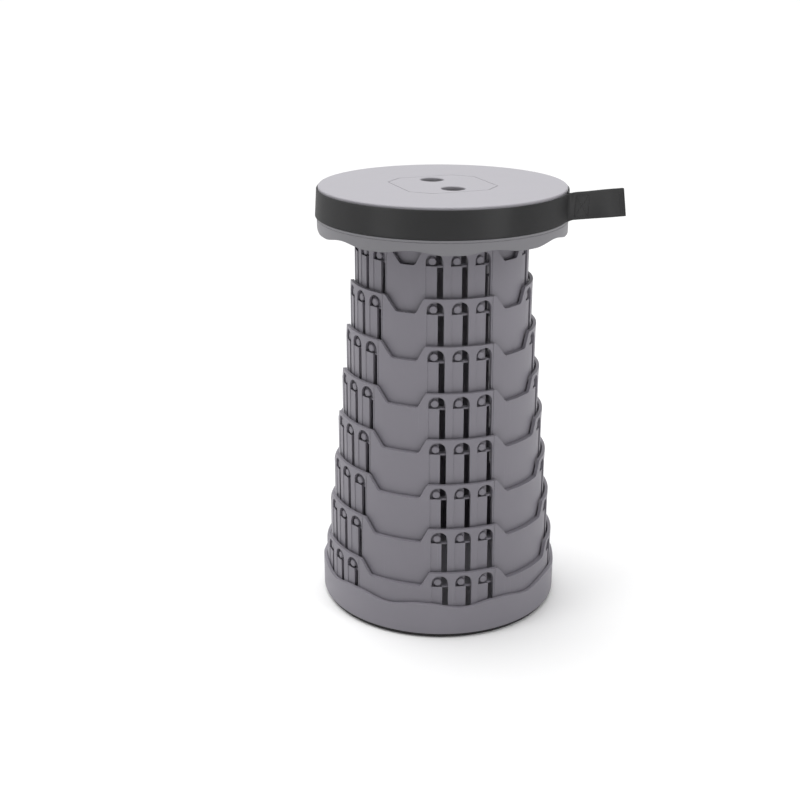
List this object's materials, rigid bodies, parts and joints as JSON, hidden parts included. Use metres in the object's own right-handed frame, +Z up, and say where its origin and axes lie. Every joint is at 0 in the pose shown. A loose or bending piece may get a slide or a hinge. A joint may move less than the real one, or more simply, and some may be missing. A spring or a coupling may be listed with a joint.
{
  "type": "telescopic stool",
  "caption": "Round seat on a tapering column of nested plastic rings that slide down into a low base, with a webbing strap around the seat.",
  "frame": {"origin": "centre of the foot ring's face on the floor, on the column's axis", "axes": "+Z up along the column, -Y towards the front of the picture, +X to its right, where the strap tab leaves the seat"},
  "size_m": [0.3117, 0.2568, 0.45],
  "materials": {
    "seat_plastic": "fine grain",
    "body_plastic": "fine grain",
    "ring_plastic": "fine grain",
    "screw_steel": "satin",
    "webbing": "woven",
    "base_plastic": "fine grain",
    "foot_rubber": "matt"
  },
  "bodies": {
    "base": {"base_shell": "base_plastic", "base_floor": "base_plastic", "base_screws": "screw_steel", "foot_ring": "foot_rubber", "ring_8": "ring_plastic"},
    "ring_7": {"ring_7": "ring_plastic"},
    "ring_6": {"ring_6": "ring_plastic"},
    "ring_5": {"ring_5": "ring_plastic"},
    "ring_4": {"ring_4": "ring_plastic"},
    "ring_3": {"ring_3": "ring_plastic"},
    "ring_2": {"ring_2": "ring_plastic"},
    "ring_1": {"ring_1": "ring_plastic"},
    "seat": {"seat_lid": "seat_plastic", "seat_body": "body_plastic", "seat_tube": "ring_plastic", "seat_screws": "screw_steel", "strap_band": "webbing", "strap_tail": "webbing"}
  },
  "joints": [
    {"name": "ring_7_slide", "type": "slide", "parent": "base", "child": "ring_7", "axis": [0, 0, 1], "range_m": [-0.0464, 0]},
    {"name": "ring_6_slide", "type": "slide", "parent": "ring_7", "child": "ring_6", "axis": [0, 0, 1], "range_m": [-0.0469, 0]},
    {"name": "ring_5_slide", "type": "slide", "parent": "ring_6", "child": "ring_5", "axis": [0, 0, 1], "range_m": [-0.0469, 0]},
    {"name": "ring_4_slide", "type": "slide", "parent": "ring_5", "child": "ring_4", "axis": [0, 0, 1], "range_m": [-0.0469, 0]},
    {"name": "ring_3_slide", "type": "slide", "parent": "ring_4", "child": "ring_3", "axis": [0, 0, 1], "range_m": [-0.0469, 0]},
    {"name": "ring_2_slide", "type": "slide", "parent": "ring_3", "child": "ring_2", "axis": [0, 0, 1], "range_m": [-0.0469, 0]},
    {"name": "ring_1_slide", "type": "slide", "parent": "ring_2", "child": "ring_1", "axis": [0, 0, 1], "range_m": [-0.0469, 0]},
    {"name": "seat_slide", "type": "slide", "parent": "ring_1", "child": "seat", "axis": [0, 0, 1], "range_m": [-0.038, 0]}
  ]
}
